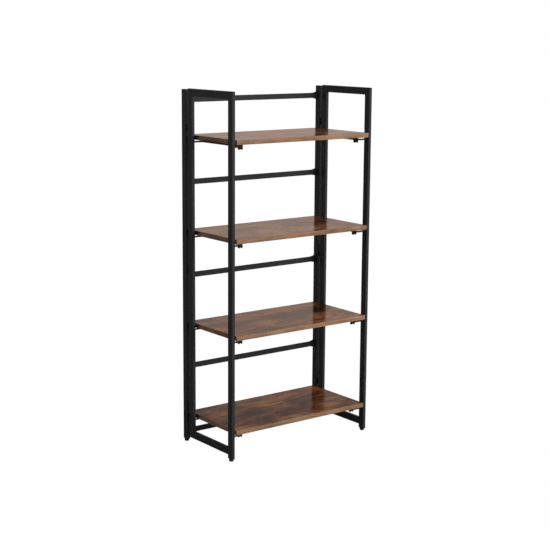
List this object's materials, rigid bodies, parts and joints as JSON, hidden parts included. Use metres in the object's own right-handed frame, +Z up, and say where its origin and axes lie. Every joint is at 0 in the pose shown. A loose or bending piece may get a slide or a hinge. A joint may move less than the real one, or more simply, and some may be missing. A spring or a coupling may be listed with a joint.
{
  "type": "folding bookcase",
  "caption": "Folding open bookcase: black tube back frame and hinged side frames carry wood laminate shelves that pivot at the back and clip onto wire rods.",
  "frame": {"origin": "centre of the footprint on the floor", "axes": "+Z up, +Y towards the back, +X to the right as seen from the front"},
  "size_m": [0.6044, 0.304, 1.25],
  "materials": {
    "frame_coat": "black semi-gloss powder coat on steel tube and wire",
    "shelf_laminate": "rustic brown printed laminate on particle board",
    "black_plastic": "moulded black plastic",
    "foot_plastic": "moulded black plastic",
    "bush_nylon": "moulded black nylon",
    "plate_steel": "black powder coat on steel plate",
    "dark_steel": "black oxide steel"
  },
  "bodies": {
    "frame": {"back_upright_left": "frame_coat", "back_upright_right": "frame_coat", "back_rung_bottom": "frame_coat", "back_rung_lower": "frame_coat", "back_rung_middle": "frame_coat", "back_rung_upper": "frame_coat", "back_rung_top": "frame_coat", "left_front_upright": "frame_coat", "left_rear_upright": "frame_coat", "left_top_bar": "frame_coat", "left_bottom_bar": "frame_coat", "left_rod_bottom": "frame_coat", "left_rod_lower": "frame_coat", "left_rod_upper": "frame_coat", "left_rod_top": "frame_coat", "left_hinge_lower_barrels": "frame_coat", "left_hinge_upper_barrels": "frame_coat", "left_hinge_pins": "dark_steel", "left_pivot_bushes": "bush_nylon", "right_front_upright": "frame_coat", "right_rear_upright": "frame_coat", "right_top_bar": "frame_coat", "right_bottom_bar": "frame_coat", "right_rod_bottom": "frame_coat", "right_rod_lower": "frame_coat", "right_rod_upper": "frame_coat", "right_rod_top": "frame_coat", "right_hinge_lower_barrels": "frame_coat", "right_hinge_upper_barrels": "frame_coat", "right_hinge_pins": "dark_steel", "right_pivot_bushes": "bush_nylon", "tube_plugs": "black_plastic", "back_upright_caps": "black_plastic"},
    "bottom_shelf": {"bottom_shelf_board": "shelf_laminate", "bottom_pivot_plates": "plate_steel", "bottom_pivot_studs": "dark_steel", "bottom_shelf_clips": "black_plastic", "bottom_shelf_screws": "dark_steel"},
    "lower_shelf": {"lower_shelf_board": "shelf_laminate", "lower_pivot_plates": "plate_steel", "lower_pivot_studs": "dark_steel", "lower_shelf_clips": "black_plastic", "lower_shelf_screws": "dark_steel"},
    "upper_shelf": {"upper_shelf_board": "shelf_laminate", "upper_pivot_plates": "plate_steel", "upper_pivot_studs": "dark_steel", "upper_shelf_clips": "black_plastic", "upper_shelf_screws": "dark_steel"},
    "top_shelf": {"top_shelf_board": "shelf_laminate", "top_pivot_plates": "plate_steel", "top_pivot_studs": "dark_steel", "top_shelf_clips": "black_plastic", "top_shelf_screws": "dark_steel"},
    "front_left_foot": {"front_left_foot": "foot_plastic"},
    "front_right_foot": {"front_right_foot": "foot_plastic"},
    "back_left_foot": {"back_left_foot": "foot_plastic"},
    "back_right_foot": {"back_right_foot": "foot_plastic"}
  },
  "joints": [
    {"name": "bottom_shelf_flip", "type": "hinge", "parent": "frame", "child": "bottom_shelf", "pos_m": [0, 0.135, 0.101], "axis": [-1, 0, 0], "range_deg": [0, 90]},
    {"name": "lower_shelf_flip", "type": "hinge", "parent": "frame", "child": "lower_shelf", "pos_m": [0, 0.135, 0.429], "axis": [-1, 0, 0], "range_deg": [0, 90]},
    {"name": "upper_shelf_flip", "type": "hinge", "parent": "frame", "child": "upper_shelf", "pos_m": [0, 0.135, 0.757], "axis": [-1, 0, 0], "range_deg": [0, 90]},
    {"name": "top_shelf_flip", "type": "hinge", "parent": "frame", "child": "top_shelf", "pos_m": [0, 0.135, 1.085], "axis": [-1, 0, 0], "range_deg": [0, 90]},
    {"name": "front_left_foot_turn", "type": "hinge", "parent": "frame", "child": "front_left_foot", "pos_m": [-0.294, -0.1355, 0.009], "axis": [0, 0, 1], "continuous": true},
    {"name": "front_right_foot_turn", "type": "hinge", "parent": "frame", "child": "front_right_foot", "pos_m": [0.294, -0.1355, 0.009], "axis": [0, 0, 1], "continuous": true},
    {"name": "back_left_foot_turn", "type": "hinge", "parent": "frame", "child": "back_left_foot", "pos_m": [-0.294, 0.1395, 0.009], "axis": [0, 0, 1], "continuous": true},
    {"name": "back_right_foot_turn", "type": "hinge", "parent": "frame", "child": "back_right_foot", "pos_m": [0.294, 0.1395, 0.009], "axis": [0, 0, 1], "continuous": true}
  ]
}
